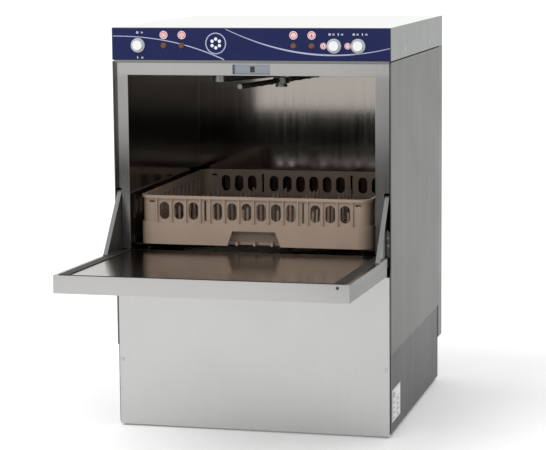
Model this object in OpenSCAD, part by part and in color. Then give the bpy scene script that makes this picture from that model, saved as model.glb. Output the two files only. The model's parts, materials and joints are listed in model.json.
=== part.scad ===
// Undercounter commercial dishwasher with a drop-down door and a removable wash rack.
// Right-handed, +Z up, +Y to the back. The modules measure Y from the front plane of the
// cabinet, and in_frame() moves that plane so that the whole part is centred on the origin.

/* [Cabinet] */
// Overall width
body_w = 592; // [584:1:610]
// Overall height
body_h = 848; // [840:1:870]
// Depth of the side panels
side_d = 583; // [575:1:600]
// Depth of the rear cover behind the side panels
cover_d = 47; // [35:1:60]
// Height of the hood that carries the controls
cap_h = 67; // [60:1:72]
// Height of the lower edge of the side panels
side_z = 176; // [120:1:220]
// Height of the lower edge of the rear cover
cover_z = 101; // [90:1:150]
// Thickness of the side sheets
side_t = 3; // [2:0.5:3]
// Thickness of the other sheets
sheet = 1.5; // [1:0.1:1.6]

/* [Opening and chamber] */
// Width of the loading opening
open_w = 526; // [516:1:528]
// Height of the upper edge of the opening
open_top = 749.5; // [740:0.5:750]
// Depth of the wash chamber
chamber_d = 530; // [525:1:540]
// Height of the chamber floor
floor_z = 330; // [326:1:332]
// Depth of the wash tank below the chamber floor
tank_h = 93; // [80:1:100]

/* [Door] */
// Width of the door
door_w = 584; // [582:1:584]
// Length of the door from the hinge axis to its lip
door_l = 383; // [375:1:385]
// Thickness of the door
door_t = 35.5; // [32:0.5:36]
// Distance of the hinge axis in front of the cabinet's front plane
hinge_out = 12; // [12:0.5:13]
// Height of the hinge axis
hinge_z = 370; // [369:0.5:371]
// Angle by which the open door's lip is raised, so that it drains inwards
door_tilt = 1.5; // [1:0.1:1.6]

/* [Rack] */
// Side of the square wash rack
rack_w = 500; // [490:1:500]
// Height of the wash rack
rack_h = 103; // [95:1:110]
// Height of the underside of the rack
rack_z = 391.5; // [391.5:0.5:394]
// Distance of the rack's front wall behind the cabinet's front plane
rack_y = 20; // [18:1:24]

/* [Controls] */
// Height of the row of buttons and lamps
control_z = 811; // [806:1:814]
// Radius of a push button's cap
button_r = 10.4; // [9:0.1:10.5]
// Radius of an indicator lamp's lens
lamp_r = 6; // [5:0.5:6.5]

/* [Spray arms] */
// Radius swept by the wash arms
wash_arm_r = 222; // [200:1:228]
// Radius swept by the rinse arms
rinse_arm_r = 200; // [180:1:220]

/* [Hidden] */
$fn = 48;

half_w = body_w / 2;
body_d = side_d + cover_d;
cap_z = body_h - cap_h;
open_r = open_w / 2;
inner_x = half_w - side_t;
front_w = 2 * (inner_x - 1);
fitting_out = 16;

// Hinge and door, measured from the hinge axis with the door flat
door_top = hinge_out - 2;
door_low = door_top - door_t;
door_wide_y = -15;
door_mid_y = 9;
door_rear_y = 25;
door_mid_r = 279.5;
door_rear_r = open_r - 2;
door_corner_r = 16;

// The part's own frame: the middle of the whole box, with the door open
y_low = -hinge_out - door_l * cos(door_tilt) + door_low * sin(door_tilt);
y_high = body_d + fitting_out;
mid_y = (y_low + y_high) / 2;

// Door arms, in the plane of the web, from the hinge axis
arm_x = 282;
arm_t = 2;
arm_flange = 9;
arm_foot_y = -88;
arm_tip = [14, 137];
spring_pin = [25, 25];
spring_at = [spring_pin[0] * cos(door_tilt) + spring_pin[1] * sin(door_tilt) - hinge_out,
             spring_pin[1] * cos(door_tilt) - spring_pin[0] * sin(door_tilt) + hinge_z];
spring_x = 273;
spring_pin_r = 2.5;
spring_r = 7;
anchor_z = 80;
hinge_pin_r = 4;
run_gap = 0.05;

// Chamber and water parts
wall = 1.2;
chamber_top = 755;
sill_y = 17;
sill_z = 376;
centre_y = 274;
tank_r = 237;
tank_y = [43, 502];
tank_z = floor_z - wall - tank_h;
lower_arm_z = 344;
upper_arm_z = 731;
standpipe_at = [-205, 80];
head_r = 16;
spindle_r = 9;
riser_r = 12;
rinse_pipe_r = 7;
pipe_t = 1.2;
pump_at = [20, 340, 130];
casing_r = 60;
casing_l = 50;
motor_r = 52;
shaft_r = 6;
intake_at = [-15, 340];
intake_r = 18;
pump_out = [45, 296, 208];
boiler_at = [-110, 150, 125];
boiler_r = 58;
boiler_l = 250;
boiler_port_y = 330;
duct_y = 556;
rack_wall = 3;
rack_corner = 30;

// Controls: places across the fascia
buttons_x = [-239, 178, 228];
lamps_x = [-183, -144, 93.5, 131.5];
symbol_z = 832.5;
side_symbols_x = [158, 208.5];
emblem_at = [-71, 815.5];
emblem_r = 22;
bezel_r = 15;
barrel_r = 12.5;
pocket_x = 4;
pocket_w = 80;
pocket_z = [752.5, 772];
pocket_d = 9;

// ---------- shared shapes ----------

module in_frame() {
    translate([0, -mid_y, 0]) children();
}

module on_door() {
    in_frame() translate([0, -hinge_out, hinge_z]) rotate([-door_tilt, 0, 0]) children();
}

module box(x, y, z) {
    translate([x[0], y[0], z[0]]) cube([x[1] - x[0], y[1] - y[0], z[1] - z[0]]);
}

module wide(w, y, z) {
    box([-w / 2, w / 2], y, z);
}

module both_sides() {
    children();
    mirror([1, 0, 0]) children();
}

module along_x(r, x0, x1) {
    translate([x0, 0, 0]) rotate([0, 90, 0]) cylinder(h = x1 - x0, r = r);
}

module along_y(r, y0, y1) {
    translate([0, y0, 0]) rotate([-90, 0, 0]) cylinder(h = y1 - y0, r = r);
}

module ring(r_out, r_in, h) {
    difference() {
        cylinder(h = h, r = r_out);
        translate([0, 0, -1]) cylinder(h = h + 2, r = r_in);
    }
}

module round_square(size, r) {
    square([size - 2 * r, size], center = true);
    square([size, size - 2 * r], center = true);
    for (x = [-1, 1], y = [-1, 1]) translate([x, y] * (size / 2 - r)) circle(r = r);
}

module slot2d(w, h) {
    square([w, h - w], center = true);
    for (s = [-1, 1]) translate([0, s * (h - w) / 2]) circle(d = w);
}

// An outline in Y and Z, extruded along X from x0
module side_plate(x0, t) {
    translate([x0, 0, 0]) rotate([90, 0, 90]) linear_extrude(t) children();
}

// A pipe through a list of points, each leg parallel to an axis
module pipe_solid(points, r) {
    for (i = [0 : len(points) - 2]) {
        leg = points[i + 1] - points[i];
        d = [abs(leg[0]), abs(leg[1]), abs(leg[2])];
        low = [min(points[i][0], points[i + 1][0]), min(points[i][1], points[i + 1][1]),
               min(points[i][2], points[i + 1][2])];
        turn = d[0] > 0 ? [0, 90, 0] : d[1] > 0 ? [-90, 0, 0] : [0, 0, 0];
        translate(low) rotate(turn) cylinder(h = max(d), r = r);
        if (i > 0) translate(points[i]) sphere(r = r);
    }
}

module pipe(points, r, t) {
    last = len(points) - 1;
    run_in = points[0] - (points[1] - points[0]) / norm(points[1] - points[0]);
    run_out = points[last] + (points[last] - points[last - 1]) / norm(points[last] - points[last - 1]);
    inner = [run_in, for (i = [1 : last - 1]) points[i], run_out];
    difference() {
        pipe_solid(points, r);
        pipe_solid(inner, r - t);
    }
}

// ---------- cabinet ----------

feet_at = [[-240, 60], [240, 60], [-240, 540], [240, 540]];
base_z = [34, 60];

module base_frame() color("dimgray") in_frame() {
    difference() {
        wide(570, [15, 575], base_z);
        wide(566, [17, 573], [base_z[0] + 2, base_z[1] + 1]);
        wide(96, [60, 240], [base_z[0] - 1, base_z[1]]);
        wide(340, [425, 521], [base_z[0] - 1, base_z[1]]);
        for (p = feet_at) translate([p[0], p[1], base_z[0] - 1]) cylinder(h = 4, r = 4.2);
    }
    both_sides() {
        box([281, 283], [6, 32], [base_z[0] + 2, anchor_z + 8]);
        translate([0, spring_at[0], anchor_z]) along_x(spring_pin_r, 266, 281);
        translate([0, spring_at[0], anchor_z]) along_x(4.5, 265, 266.4);
    }
}

module base_rear_panel() color("darkgray") in_frame() difference() {
    wide(2 * (half_w - sheet), [side_d, side_d + sheet], [8, cover_z]);
    for (x = [-200 : 40 : 200]) translate([x, side_d, 54]) rotate([90, 0, 0])
        linear_extrude(8, center = true) slot2d(8, 44);
}

module levelling_feet() color("dimgray") in_frame() for (p = feet_at) translate([p[0], p[1], 0]) {
    cylinder(h = 8, r = 20);
    translate([0, 0, 8]) cylinder(h = 4, r1 = 14, r2 = 9);
    translate([0, 0, 12]) cylinder(h = 36, r = 4);
}

module foot_lock_nuts() color("silver") in_frame() for (p = feet_at) {
    translate([p[0], p[1], base_z[0] - 7]) difference() {
        cylinder(h = 7, r = 7.5, $fn = 6);
        translate([0, 0, -1]) cylinder(h = 9, r = 4);
    }
}

module side_panel() {
    box([inner_x, half_w], [0, side_d], [side_z, cap_z - 3]);
    box([inner_x - 18, inner_x], [side_d - sheet, side_d], [side_z, cap_z - 3]);
    box([inner_x - 18, inner_x], [20, side_d - sheet], [cap_z - 3 - sheet, cap_z - 3]);
}

module side_panel_right() color("darkgray") in_frame() side_panel();

module side_panel_left() color("darkgray") in_frame() mirror([1, 0, 0]) side_panel();

module base_panel() {
    box([inner_x - 0.5, half_w - sheet], [3, side_d], [8, side_z - 0.5]);
    box([inner_x - 16, inner_x - 0.5], [22, side_d - 2], [8, 8 + sheet]);
    box([inner_x - 16, inner_x - 0.5], [side_d - sheet, side_d], [8, side_z - 0.5]);
}

module base_panel_right() color("gray") in_frame() base_panel();

module base_panel_left() color("gray") in_frame() mirror([1, 0, 0]) base_panel();

front_panel_z = [4, 338];
front_screw_z = 144;
front_screw_x = 285;

module lower_front_panel() color("silver") in_frame() difference() {
    union() {
        wide(front_w, [0, sheet], front_panel_z);
        wide(2 * door_rear_r, [sheet, 14], [front_panel_z[1] - sheet, front_panel_z[1]]);
        wide(front_w - 40, [sheet, 14], [front_panel_z[0], front_panel_z[0] + sheet]);
        both_sides() box([front_w / 2 - sheet, front_w / 2], [sheet, 18], front_panel_z);
    }
    both_sides() translate([front_screw_x, 0, front_screw_z]) along_y(2.2, -1, sheet + 1);
}

notch_x = 281;
notch_z = 512;
post_z = 384;

module front_frame() color("silver") in_frame() {
    difference() {
        wide(front_w, [0, sheet], [post_z, cap_z - 6]);
        wide(open_w, [-1, 3], [post_z - 1, open_top]);
        both_sides() box([notch_x, half_w], [-1, 3], [post_z - 1, notch_z]);
        translate([pocket_x, 0, 0]) wide(pocket_w, [-1, 3], pocket_z);
    }
    wide(open_w, [sheet, 13], [open_top, open_top + sheet]);
}

module finger_pocket() color("silver") in_frame() translate([pocket_x, 0, 0]) difference() {
    wide(pocket_w + 2, [sheet, pocket_d + 1], [pocket_z[0] - 1, pocket_z[1] + 1]);
    wide(pocket_w, [0, pocket_d], pocket_z);
    wide(9, [pocket_d - 1, pocket_d + 2], [756, 768]);
}

module door_switch() color("black") in_frame() translate([pocket_x, 0, 0]) {
    wide(30, [pocket_d + 1, pocket_d + 13], [757.5, 771]);
    wide(8.4, [pocket_d - 1, pocket_d + 1], [756.4, 767.6]);
}

module top_cap() color("silver") in_frame() difference() {
    union() {
        wide(body_w, [0, body_d], [cap_z - 0.5, body_h]);
        wide(front_w, [0, 3.5], [cap_z - 6, cap_z]);
    }
    wide(body_w - 2 * sheet, [3.5, body_d - sheet], [cap_z - 7, body_h - sheet]);
    wide(body_w - 2 * sheet, [-1, 2], [cap_z, body_h - sheet]);
    for (x = buttons_x) translate([x, 0, control_z]) along_y(barrel_r, 1, 5);
    for (x = lamps_x) translate([x, 0, control_z]) along_y(lamp_r - 1, 1, 5);
}

module control_fascia() color("midnightblue") in_frame() difference() {
    wide(body_w - 2 * sheet, [0.3, 2], [cap_z, body_h - sheet]);
    for (x = buttons_x) translate([x, 0, control_z]) along_y(barrel_r, 0, 3);
    for (x = lamps_x) translate([x, 0, control_z]) along_y(lamp_r - 1, 0, 3);
}

symbol_y = [-0.1, 0.3];

module fascia_symbols() color("white") in_frame() {
    for (x = lamps_x) translate([x, 0, symbol_z]) along_y(8.4, symbol_y[0], symbol_y[1]);
    for (x = side_symbols_x) translate([x - 2, 0, control_z]) along_y(6.5, symbol_y[0], symbol_y[1]);
    translate([emblem_at[0], symbol_y[1], emblem_at[1]]) rotate([90, 0, 0])
        ring(emblem_r, emblem_r - 1.4, symbol_y[1] - symbol_y[0]);
    translate([emblem_at[0], 0, emblem_at[1]]) for (turn = [0 : 60 : 300]) rotate([0, turn, 0])
        translate([0, 0, 9]) along_y(3.4, symbol_y[0], symbol_y[1]);
}

module button_bezels() color("silver") in_frame() for (x = buttons_x) {
    translate([x, 0, control_z]) rotate([90, 0, 0]) difference() {
        union() {
            translate([0, 0, -0.3]) cylinder(h = 2.2, r = bezel_r);
            translate([0, 0, 1.9]) cylinder(h = 1.6, r1 = bezel_r, r2 = bezel_r - 1.6);
            translate([0, 0, -30]) cylinder(h = 30, r = barrel_r);
        }
        translate([0, 0, -24]) cylinder(h = 40, r = button_r + 0.5);
    }
}

module push_button(x) color("white") in_frame() translate([x, 0, control_z]) rotate([90, 0, 0]) {
    translate([0, 0, -19]) cylinder(h = 24.6, r = button_r);
    translate([0, 0, 5.6]) cylinder(h = 1, r1 = button_r, r2 = button_r - 1);
}

module power_button() push_button(buttons_x[0]);

module rinse_button() push_button(buttons_x[1]);

module wash_button() push_button(buttons_x[2]);

module indicator_lamps() color("saddlebrown") in_frame() for (x = lamps_x) {
    translate([x, 0, control_z]) {
        along_y(lamp_r, -1.2, 0.3);
        along_y(lamp_r - 1, 0.3, 16);
        translate([0, -1.2, 0]) rotate([90, 0, 0]) cylinder(h = 1, r1 = lamp_r, r2 = lamp_r - 2);
    }
}

inlet_at = [-140, 150];
inlet_r = 13.2;
inlet_collar_r = 16;
drain_at = [-205, 130];
drain_r = 15;
spigot_r = 14;
spigot_l = 14;
gland_at = [200, 150];
gland_r = 10;
vents_z = [220 : 24 : 340];

module rear_cover() color("darkgray") in_frame() difference() {
    wide(body_w, [side_d, body_d], [cover_z, cap_z - 1]);
    wide(body_w - 2 * sheet, [side_d - 1, body_d - sheet], [cover_z + sheet, cap_z - 1 - sheet]);
    translate([inlet_at[0], 0, inlet_at[1]]) along_y(inlet_collar_r, body_d - 5, body_d + 1);
    translate([drain_at[0], 0, drain_at[1]]) along_y(drain_r, body_d - 5, body_d + 1);
    translate([gland_at[0], 0, gland_at[1]]) along_y(gland_r, body_d - 5, body_d + 1);
    for (z = vents_z) wide(260, [body_d - 5, body_d + 1], [z, z + 6]);
}

// ---------- fasteners ----------

cap_screws_y = [148, 452];
cap_screw_z = 798;
cover_screws_z = [190, 440, 700];

module screw_head() {
    cylinder(h = 0.6, r = 4);
    translate([0, 0, 0.6]) cylinder(h = 0.6, r1 = 4, r2 = 3);
}

module panel_screws() color("silver") in_frame() both_sides() {
    translate([front_screw_x, 0, front_screw_z]) rotate([90, 0, 0]) {
        screw_head();
        translate([0, 0, -8]) cylinder(h = 8, r = 2.2);
    }
    for (y = cap_screws_y) translate([half_w, y, cap_screw_z]) rotate([0, 90, 0]) screw_head();
    for (z = cover_screws_z) translate([half_w - 14, body_d, z]) rotate([-90, 0, 0]) screw_head();
}

module rating_label() color("gainsboro") in_frame()
    box([half_w - sheet, half_w - sheet + 0.3], [16, 106], [30, 98]);

// ---------- chamber, tank and rails ----------

module wash_chamber() color("silver") in_frame() {
    difference() {
        wide(open_w + 2 * wall, [sheet, chamber_d + wall], [floor_z - wall, chamber_top + wall]);
        wide(open_w, [0, chamber_d], [floor_z, chamber_top]);
        wide(open_w + 10, [0, sill_y], [floor_z - 5, post_z]);
        wide(open_w + 10, [0, 14], [open_top + sheet, chamber_top + 5]);
        wide(2 * tank_r - 2 * sheet, [tank_y[0] + sheet, tank_y[1] - sheet], [floor_z - 5, floor_z + 1]);
        translate([0, centre_y, chamber_top - 1]) cylinder(h = 4, r = spindle_r);
    }
    wide(open_w + wall, [sill_y, sill_y + wall], [floor_z - wall, sill_z]);
}

rail_y = [22, 505];

module rack_rails() color("silver") in_frame() both_sides() {
    box([open_r - 32, open_r], rail_y, [rack_z - 2, rack_z - 0.5]);
    box([open_r - sheet, open_r], rail_y, [rack_z - 0.5, rack_z + 18]);
    box([open_r - 32, open_r - 32 + sheet], rail_y, [rack_z - 12, rack_z - 2]);
}

module wash_tank() color("silver") in_frame() difference() {
    wide(2 * tank_r, tank_y, [tank_z, floor_z - wall]);
    wide(2 * tank_r - 2 * sheet, [tank_y[0] + sheet, tank_y[1] - sheet], [tank_z + sheet, floor_z]);
    translate([standpipe_at[0], standpipe_at[1], tank_z - 1]) cylinder(h = 4, r = drain_r);
    translate([0, centre_y, tank_z - 1]) cylinder(h = 4, r = riser_r);
    translate([intake_at[0], intake_at[1], tank_z - 1]) cylinder(h = 4, r = intake_r);
}

tray_z = [floor_z, floor_z + 2];

module filter_tray() color("gray") in_frame() difference() {
    union() {
        wide(2 * tank_r + 10, [tank_y[0] - 6, tank_y[1] + 6], tray_z);
        for (s = [-1, 1]) translate([s * 110, 0, 0]) wide(60, [400, 404], [tray_z[1], tray_z[1] + 8]);
    }
    translate([0, centre_y, tray_z[0] - 1]) cylinder(h = 4, r = riser_r + 0.5);
    translate([standpipe_at[0], standpipe_at[1], tray_z[0] - 1]) cylinder(h = 4, r = 20);
    for (s = [-1, 1], i = [0 : 6], j = [0 : 8]) {
        translate([s * (50 + 26 * i), 130 + 32 * j, tray_z[0] - 1]) linear_extrude(4) slot2d(7, 22);
    }
}

heater_x = [60, 200];
heater_z = tank_z + 24;

module tank_heater() color("silver") in_frame() {
    for (x = heater_x) translate([x, 0, heater_z]) along_y(5, 90, 455);
    translate([0, 90, heater_z]) along_x(5, heater_x[0], heater_x[1]);
    for (x = heater_x) translate([x, 90, heater_z]) sphere(r = 5);
    for (x = heater_x) translate([x, 0, heater_z]) along_y(11, 455, tank_y[1] - sheet);
}

module drain_outlet() color("dimgray") in_frame() {
    pipe([[standpipe_at[0], standpipe_at[1], tank_z + 3], [drain_at[0], standpipe_at[1], drain_at[1]],
          [drain_at[0], y_high - spigot_l, drain_at[1]]], drain_r, 2.5);
    translate([drain_at[0], y_high - spigot_l, drain_at[1]]) rotate([-90, 0, 0])
        ring(spigot_r, drain_r - 2.5, spigot_l);
}

module standpipe() color("silver") in_frame() translate([standpipe_at[0], standpipe_at[1], 0]) {
    translate([0, 0, tank_z + 3.2]) ring(10, 8, floor_z + 12 - tank_z - 3.2);
    translate([0, 0, floor_z + 12]) ring(15, 7, 5);
    translate([0, 0, tank_z + 3.2]) ring(14.5, 8, 5);
}

// ---------- pumps, boiler and services ----------

module at_pump() {
    translate(pump_at) children();
}

module wash_pump_casing() color("dimgray") in_frame() difference() {
    union() {
        at_pump() along_x(casing_r, 0, casing_l);
        translate([pump_out[0], pump_out[1], pump_at[2]]) cylinder(h = 60, r = riser_r + 4);
        pipe_solid([[pump_at[0], pump_at[1], pump_at[2]], [intake_at[0], intake_at[1], pump_at[2]],
                    [intake_at[0], intake_at[1], tank_z + 1]], intake_r);
    }
    at_pump() along_x(casing_r - 3, 3, casing_l - 3);
    at_pump() along_x(shaft_r + run_gap, casing_l - 4, casing_l + 1);
    translate([pump_out[0], pump_out[1], pump_at[2]]) cylinder(h = 70, r = riser_r);
    pipe_solid([[pump_at[0] + 4, pump_at[1], pump_at[2]], [intake_at[0], intake_at[1], pump_at[2]],
                [intake_at[0], intake_at[1], tank_z + 2]], intake_r - 2.5);
}

module wash_pump_motor() color("steelblue") in_frame() at_pump() difference() {
    union() {
        along_x(motor_r, casing_l, casing_l + 140);
        for (i = [0 : 8]) along_x(motor_r + 5, casing_l + 20 + 12 * i, casing_l + 24 + 12 * i);
        box([casing_l + 30, casing_l + 110], [-32, 32], [base_z[0] + 2 - pump_at[2], -40]);
    }
    along_x(shaft_r + 0.4, casing_l - 1, casing_l + 20);
}

module pump_impeller() color("gray") in_frame() at_pump() {
    along_x(shaft_r, 12, casing_l + 16);
    along_x(46, 12, 15);
    for (turn = [0 : 60 : 300]) rotate([turn, 0, 0]) box([14, 32], [12, 44], [-1.5, 1.5]);
    along_x(14, 14, 34);
}

module rinse_boiler() color("silver") in_frame() difference() {
    translate(boiler_at) {
        along_y(boiler_r, 0, boiler_l);
        along_y(34, -26, 0);
        along_y(boiler_r + 2, 30, 34);
        along_y(boiler_r + 2, boiler_l - 34, boiler_l - 30);
        for (y = [40, boiler_l - 60]) box([-30, 30], [y, y + 20], [base_z[0] + 2 - boiler_at[2], -50]);
    }
    translate(boiler_at) along_y(boiler_r - 3, 3, boiler_l - 3);
    translate([boiler_at[0], boiler_port_y, boiler_at[2]])
        cylinder(h = boiler_r + 5, r = rinse_pipe_r - pipe_t);
}

module inlet_valve() color("white") in_frame() translate([inlet_at[0], 0, inlet_at[1]]) {
    along_y(11, 568, side_d);
    box([-18, 18], [532, 568], [-20, 14]);
    translate([0, 550, 14]) cylinder(h = 24, r = 15);
    box([-4, 4], [540, 560], [base_z[0] + 2 - inlet_at[1], -20]);
}

module inlet_fitting() color("goldenrod") in_frame() translate([inlet_at[0], 0, inlet_at[1]])
    rotate([-90, 0, 0]) difference() {
        union() {
            translate([0, 0, side_d]) cylinder(h = y_high - side_d, r = inlet_r);
            translate([0, 0, body_d - sheet])
                cylinder(h = y_high - spigot_l - body_d + sheet, r = inlet_collar_r);
            translate([0, 0, body_d - sheet - 6]) cylinder(h = 6, r = 22, $fn = 6);
        }
        translate([0, 0, side_d - 1]) cylinder(h = 80, r = 8);
    }

module dosing_pumps() color("whitesmoke") in_frame() for (x = [130, 205]) translate([x, 60, 0]) {
    box([-28, 28], [0, 60], [base_z[0] + 2, 110]);
    translate([0, 0, 80]) along_y(24, -14, 0);
    translate([0, 0, 80]) along_y(6, -20, -14);
}

module pressure_switch() color("black") in_frame() translate([215, 500, 0]) {
    translate([0, 0, 70]) cylinder(h = 24, r = 30);
    translate([0, 0, 94]) cylinder(h = 12, r = 5);
    box([-15, 15], [-10, 10], [base_z[0] + 2, 70]);
}

module control_board() color("darkgreen") in_frame() {
    wide(240, [70, 210], [800, 803]);
    for (x = [-110, 110], y = [80, 200]) translate([x, y, 803]) cylinder(h = body_h - sheet - 803, r = 4);
    for (x = [-80 : 40 : 80]) box([x - 12, x + 12], [90, 115], [803, 818]);
    box([-60, 20], [130, 190], [803, 828]);
}

module contactor() color("black") in_frame() {
    box([-230, -175], [90, 150], [790, body_h - sheet]);
    for (x = [-220, -202, -184]) box([x - 5, x + 5], [84, 90], [810, 826]);
}

module cable_gland() color("black") in_frame() translate([gland_at[0], 0, gland_at[1]])
    rotate([-90, 0, 0]) difference() {
        union() {
            translate([0, 0, body_d - 10]) cylinder(h = fitting_out + 10, r = gland_r);
            translate([0, 0, body_d]) cylinder(h = 6, r = 14, $fn = 6);
            translate([0, 0, body_d - sheet - 5]) cylinder(h = 5, r = 14, $fn = 6);
        }
        translate([0, 0, body_d - 11]) cylinder(h = fitting_out + 12, r = 5);
    }

module wash_riser() color("silver") in_frame() {
    pipe([[pump_out[0], pump_out[1], pump_at[2] + 60], [pump_out[0], pump_out[1], pump_out[2]],
          [0, pump_out[1], pump_out[2]], [0, centre_y, pump_out[2]], [0, centre_y, tray_z[1]]],
         riser_r, pipe_t);
    pipe([[pump_out[0], pump_out[1] + riser_r, pump_out[2]], [pump_out[0], duct_y, pump_out[2]],
          [pump_out[0], duct_y, duct_z], [pump_out[0], centre_y, duct_z], [head_r, centre_y, duct_z]],
         riser_r, pipe_t);
}

module rinse_riser() color("peru") in_frame() pipe([[boiler_at[0], boiler_port_y, boiler_at[2] + boiler_r],
    [boiler_at[0], boiler_port_y, 212], [boiler_at[0], duct_y, 212], [boiler_at[0], duct_y, rinse_duct_z],
    [boiler_at[0], centre_y, rinse_duct_z], [0, centre_y, rinse_duct_z], [0, centre_y, head_z]],
    rinse_pipe_r, pipe_t);

// ---------- spray arms ----------

duct_z = chamber_top + wall + riser_r + 0.5;
head_z = 784;
rinse_duct_z = 812;
lower_rinse_z = lower_arm_z + 22;
upper_rinse_z = upper_arm_z - 16;

module at_centre(z) {
    translate([0, centre_y, z]) children();
}

module lower_spindle() color("silver") in_frame() {
    at_centre(tray_z[1]) cylinder(h = 8, r = head_r);
    at_centre(tray_z[1] + 8) cylinder(h = rack_z - 4 - tray_z[1] - 8, r = spindle_r);
    at_centre(lower_rinse_z + 13.5) cylinder(h = 5, r = 13);
}

module upper_spindle() color("silver") in_frame() {
    at_centre(chamber_top + wall) cylinder(h = head_z - chamber_top - wall, r = head_r);
    at_centre(upper_rinse_z - 7) cylinder(h = chamber_top + wall - upper_rinse_z + 7, r = spindle_r);
    at_centre(chamber_top - 5) cylinder(h = 5, r = head_r);
    at_centre(upper_rinse_z - 8) cylinder(h = 6, r = 13);
}

module arm_hub(h, r) {
    difference() {
        children();
        translate([0, 0, -1]) cylinder(h = h + 20, r = spindle_r + run_gap);
    }
}

// A hollow spray arm with its slots on the side that faces the rack
module wash_arm(up) {
    arm_h = 13;
    arm_hub(arm_h, 30) difference() {
        union() {
            linear_extrude(arm_h) arm_outline(0);
            cylinder(h = arm_h + 4, r = 27);
        }
        translate([0, 0, 1.5]) linear_extrude(arm_h - 3) difference() {
            arm_outline(1.5);
            circle(r = 15);
        }
        for (s = [-1, 1], i = [0 : 5]) {
            translate([s * (48 + 31 * i), 4 - 8 * (i % 2), up ? arm_h - 3 : -1])
                linear_extrude(4) slot2d(4, 14);
        }
    }
}

module arm_outline(inset) {
    w = 17 - inset;
    tip = 12 - inset;
    reach = wash_arm_r - 12;
    polygon([[-reach, tip], [-20, w], [20, w], [reach, tip],
             [reach, -tip], [20, -w], [-20, -w], [-reach, -tip]]);
    for (s = [-1, 1]) translate([s * reach, 0]) circle(r = tip);
}

module rinse_arm() {
    arm_hub(12, 18) {
        difference() {
            translate([0, 0, 6]) along_x(5.5, -rinse_arm_r, rinse_arm_r);
            translate([0, 0, 6]) along_x(4.3, 15, rinse_arm_r - 1.5);
            translate([0, 0, 6]) along_x(4.3, -rinse_arm_r + 1.5, -15);
        }
        cylinder(h = 12, r = 18);
    }
    for (s = [-1, 1], i = [0 : 3]) translate([s * (50 + 46 * i), 0, 10.5]) cylinder(h = 2, r = 3);
}

module lower_wash_arm() color("silver") in_frame() at_centre(lower_arm_z) rotate([0, 0, 25]) wash_arm(true);

module lower_rinse_arm() color("lightgray") in_frame()
    at_centre(lower_rinse_z) rotate([0, 0, 100]) rinse_arm();

module upper_wash_arm() color("silver") in_frame()
    at_centre(upper_arm_z) rotate([0, 0, 66]) wash_arm(false);

module upper_rinse_arm() color("lightgray") in_frame()
    at_centre(upper_rinse_z + 12) rotate([180, 0, 78]) rinse_arm();

// ---------- hinges ----------

module at_hinge() {
    translate([0, -hinge_out, hinge_z]) children();
}

bracket_x = 286;

module hinge_bracket() {
    difference() {
        side_plate(bracket_x, 3) union() {
            translate([-hinge_out, hinge_z]) circle(r = 9);
            polygon([[-hinge_out, hinge_z - 9], [45, 350], [45, 382], [5, 400], [5, 436], [3, 436], [3, 379],
                     [-hinge_out, hinge_z + 9]]);
        }
        at_hinge() along_x(hinge_pin_r, bracket_x - 1, bracket_x + 4);
    }
    translate([0, 25, 365]) along_x(5, bracket_x + 3, inner_x);
    translate([0, 38, 372]) along_x(5, bracket_x + 3, inner_x);
    box([bracket_x - 0.5, inner_x - 1], [3, 5], [380, 430]);
    translate([(bracket_x + inner_x - 1.5) / 2, 0, 430]) along_y(3.25, 3, 5);
}

module hinge_brackets() color("darkgray") in_frame() both_sides() difference() {
    hinge_bracket();
    for (z = bracket_screws_z) translate([bracket_x + 3, 0, z]) along_y(1.6, 2, 6);
}

bracket_screws_z = [404, 420];

module hinge_pins() color("silver") in_frame() both_sides() {
    at_hinge() along_x(hinge_pin_r, arm_x - 1, bracket_x + 3);
    at_hinge() along_x(hinge_pin_r + 2, door_mid_r + 1, arm_x - 0.5);
    for (z = bracket_screws_z) translate([bracket_x + 3, 0, z]) {
        along_y(2.6, 1.6, 3);
        along_y(1.6, 3, 8);
    }
}

module spring_hook(z) {
    translate([spring_x, spring_at[0], z]) rotate([0, 90, 0])
        rotate_extrude() translate([4.4, 0]) circle(r = 1.2);
}

module door_springs() color("gray") in_frame() both_sides() {
    top = spring_at[1];
    spring_hook(anchor_z);
    spring_hook(top);
    translate([spring_x, spring_at[0], anchor_z + 5]) difference() {
        cylinder(h = top - anchor_z - 10, r = spring_r);
        translate([0, 0, 2]) cylinder(h = top - anchor_z - 14, r = spring_r - 2.2);
    }
}

// ---------- door ----------

// The plan of the door, narrower where it passes the hinges, with an inset all round
module door_plan(inset) {
    translate([-door_w / 2 + inset, -door_l + inset])
        square([door_w - 2 * inset, door_l + door_wide_y - 2 * inset]);
    translate([-door_mid_r + inset, door_wide_y - 2 * inset - 1])
        square([2 * (door_mid_r - inset), door_mid_y - door_wide_y + inset + 1]);
    translate([-door_rear_r + inset, door_mid_y - inset - 1])
        square([2 * (door_rear_r - inset), door_rear_y - door_mid_y + 1]);
}

module door_block(inset) {
    intersection() {
        translate([0, 0, door_low + inset]) linear_extrude(door_t) door_plan(inset);
        rotate([90, 0, 90]) linear_extrude(2 * door_w, center = true) difference() {
            translate([-door_l - 10, door_low - 10])
                square([door_l + door_rear_y + 20, door_t + 60]);
            translate([door_rear_y - door_corner_r, door_low]) difference() {
                translate([0, -1]) square([door_corner_r + 2, door_corner_r + 1]);
                translate([0, door_corner_r]) circle(r = door_corner_r - inset);
            }
        }
    }
}

lip_screw = [269, 3];

module door_outer_skin() color("silver") on_door() difference() {
    intersection() {
        door_block(0);
        wide(door_w, [-door_l, door_rear_y], [door_low, door_top]);
    }
    door_block(sheet);
    translate([lip_screw[0], 0, lip_screw[1]]) along_y(3.2, -door_l - 1, -door_l + 3);
}

module door_inner_panel() color("gainsboro") on_door() translate([0, 0, door_top - sheet])
    linear_extrude(sheet) difference() {
        door_plan(sheet);
        translate([-door_w, door_rear_y - sheet]) square([2 * door_w, 5]);
    }

seal_in = 262;
seal_z = [door_top, door_top + 1.6];

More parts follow.
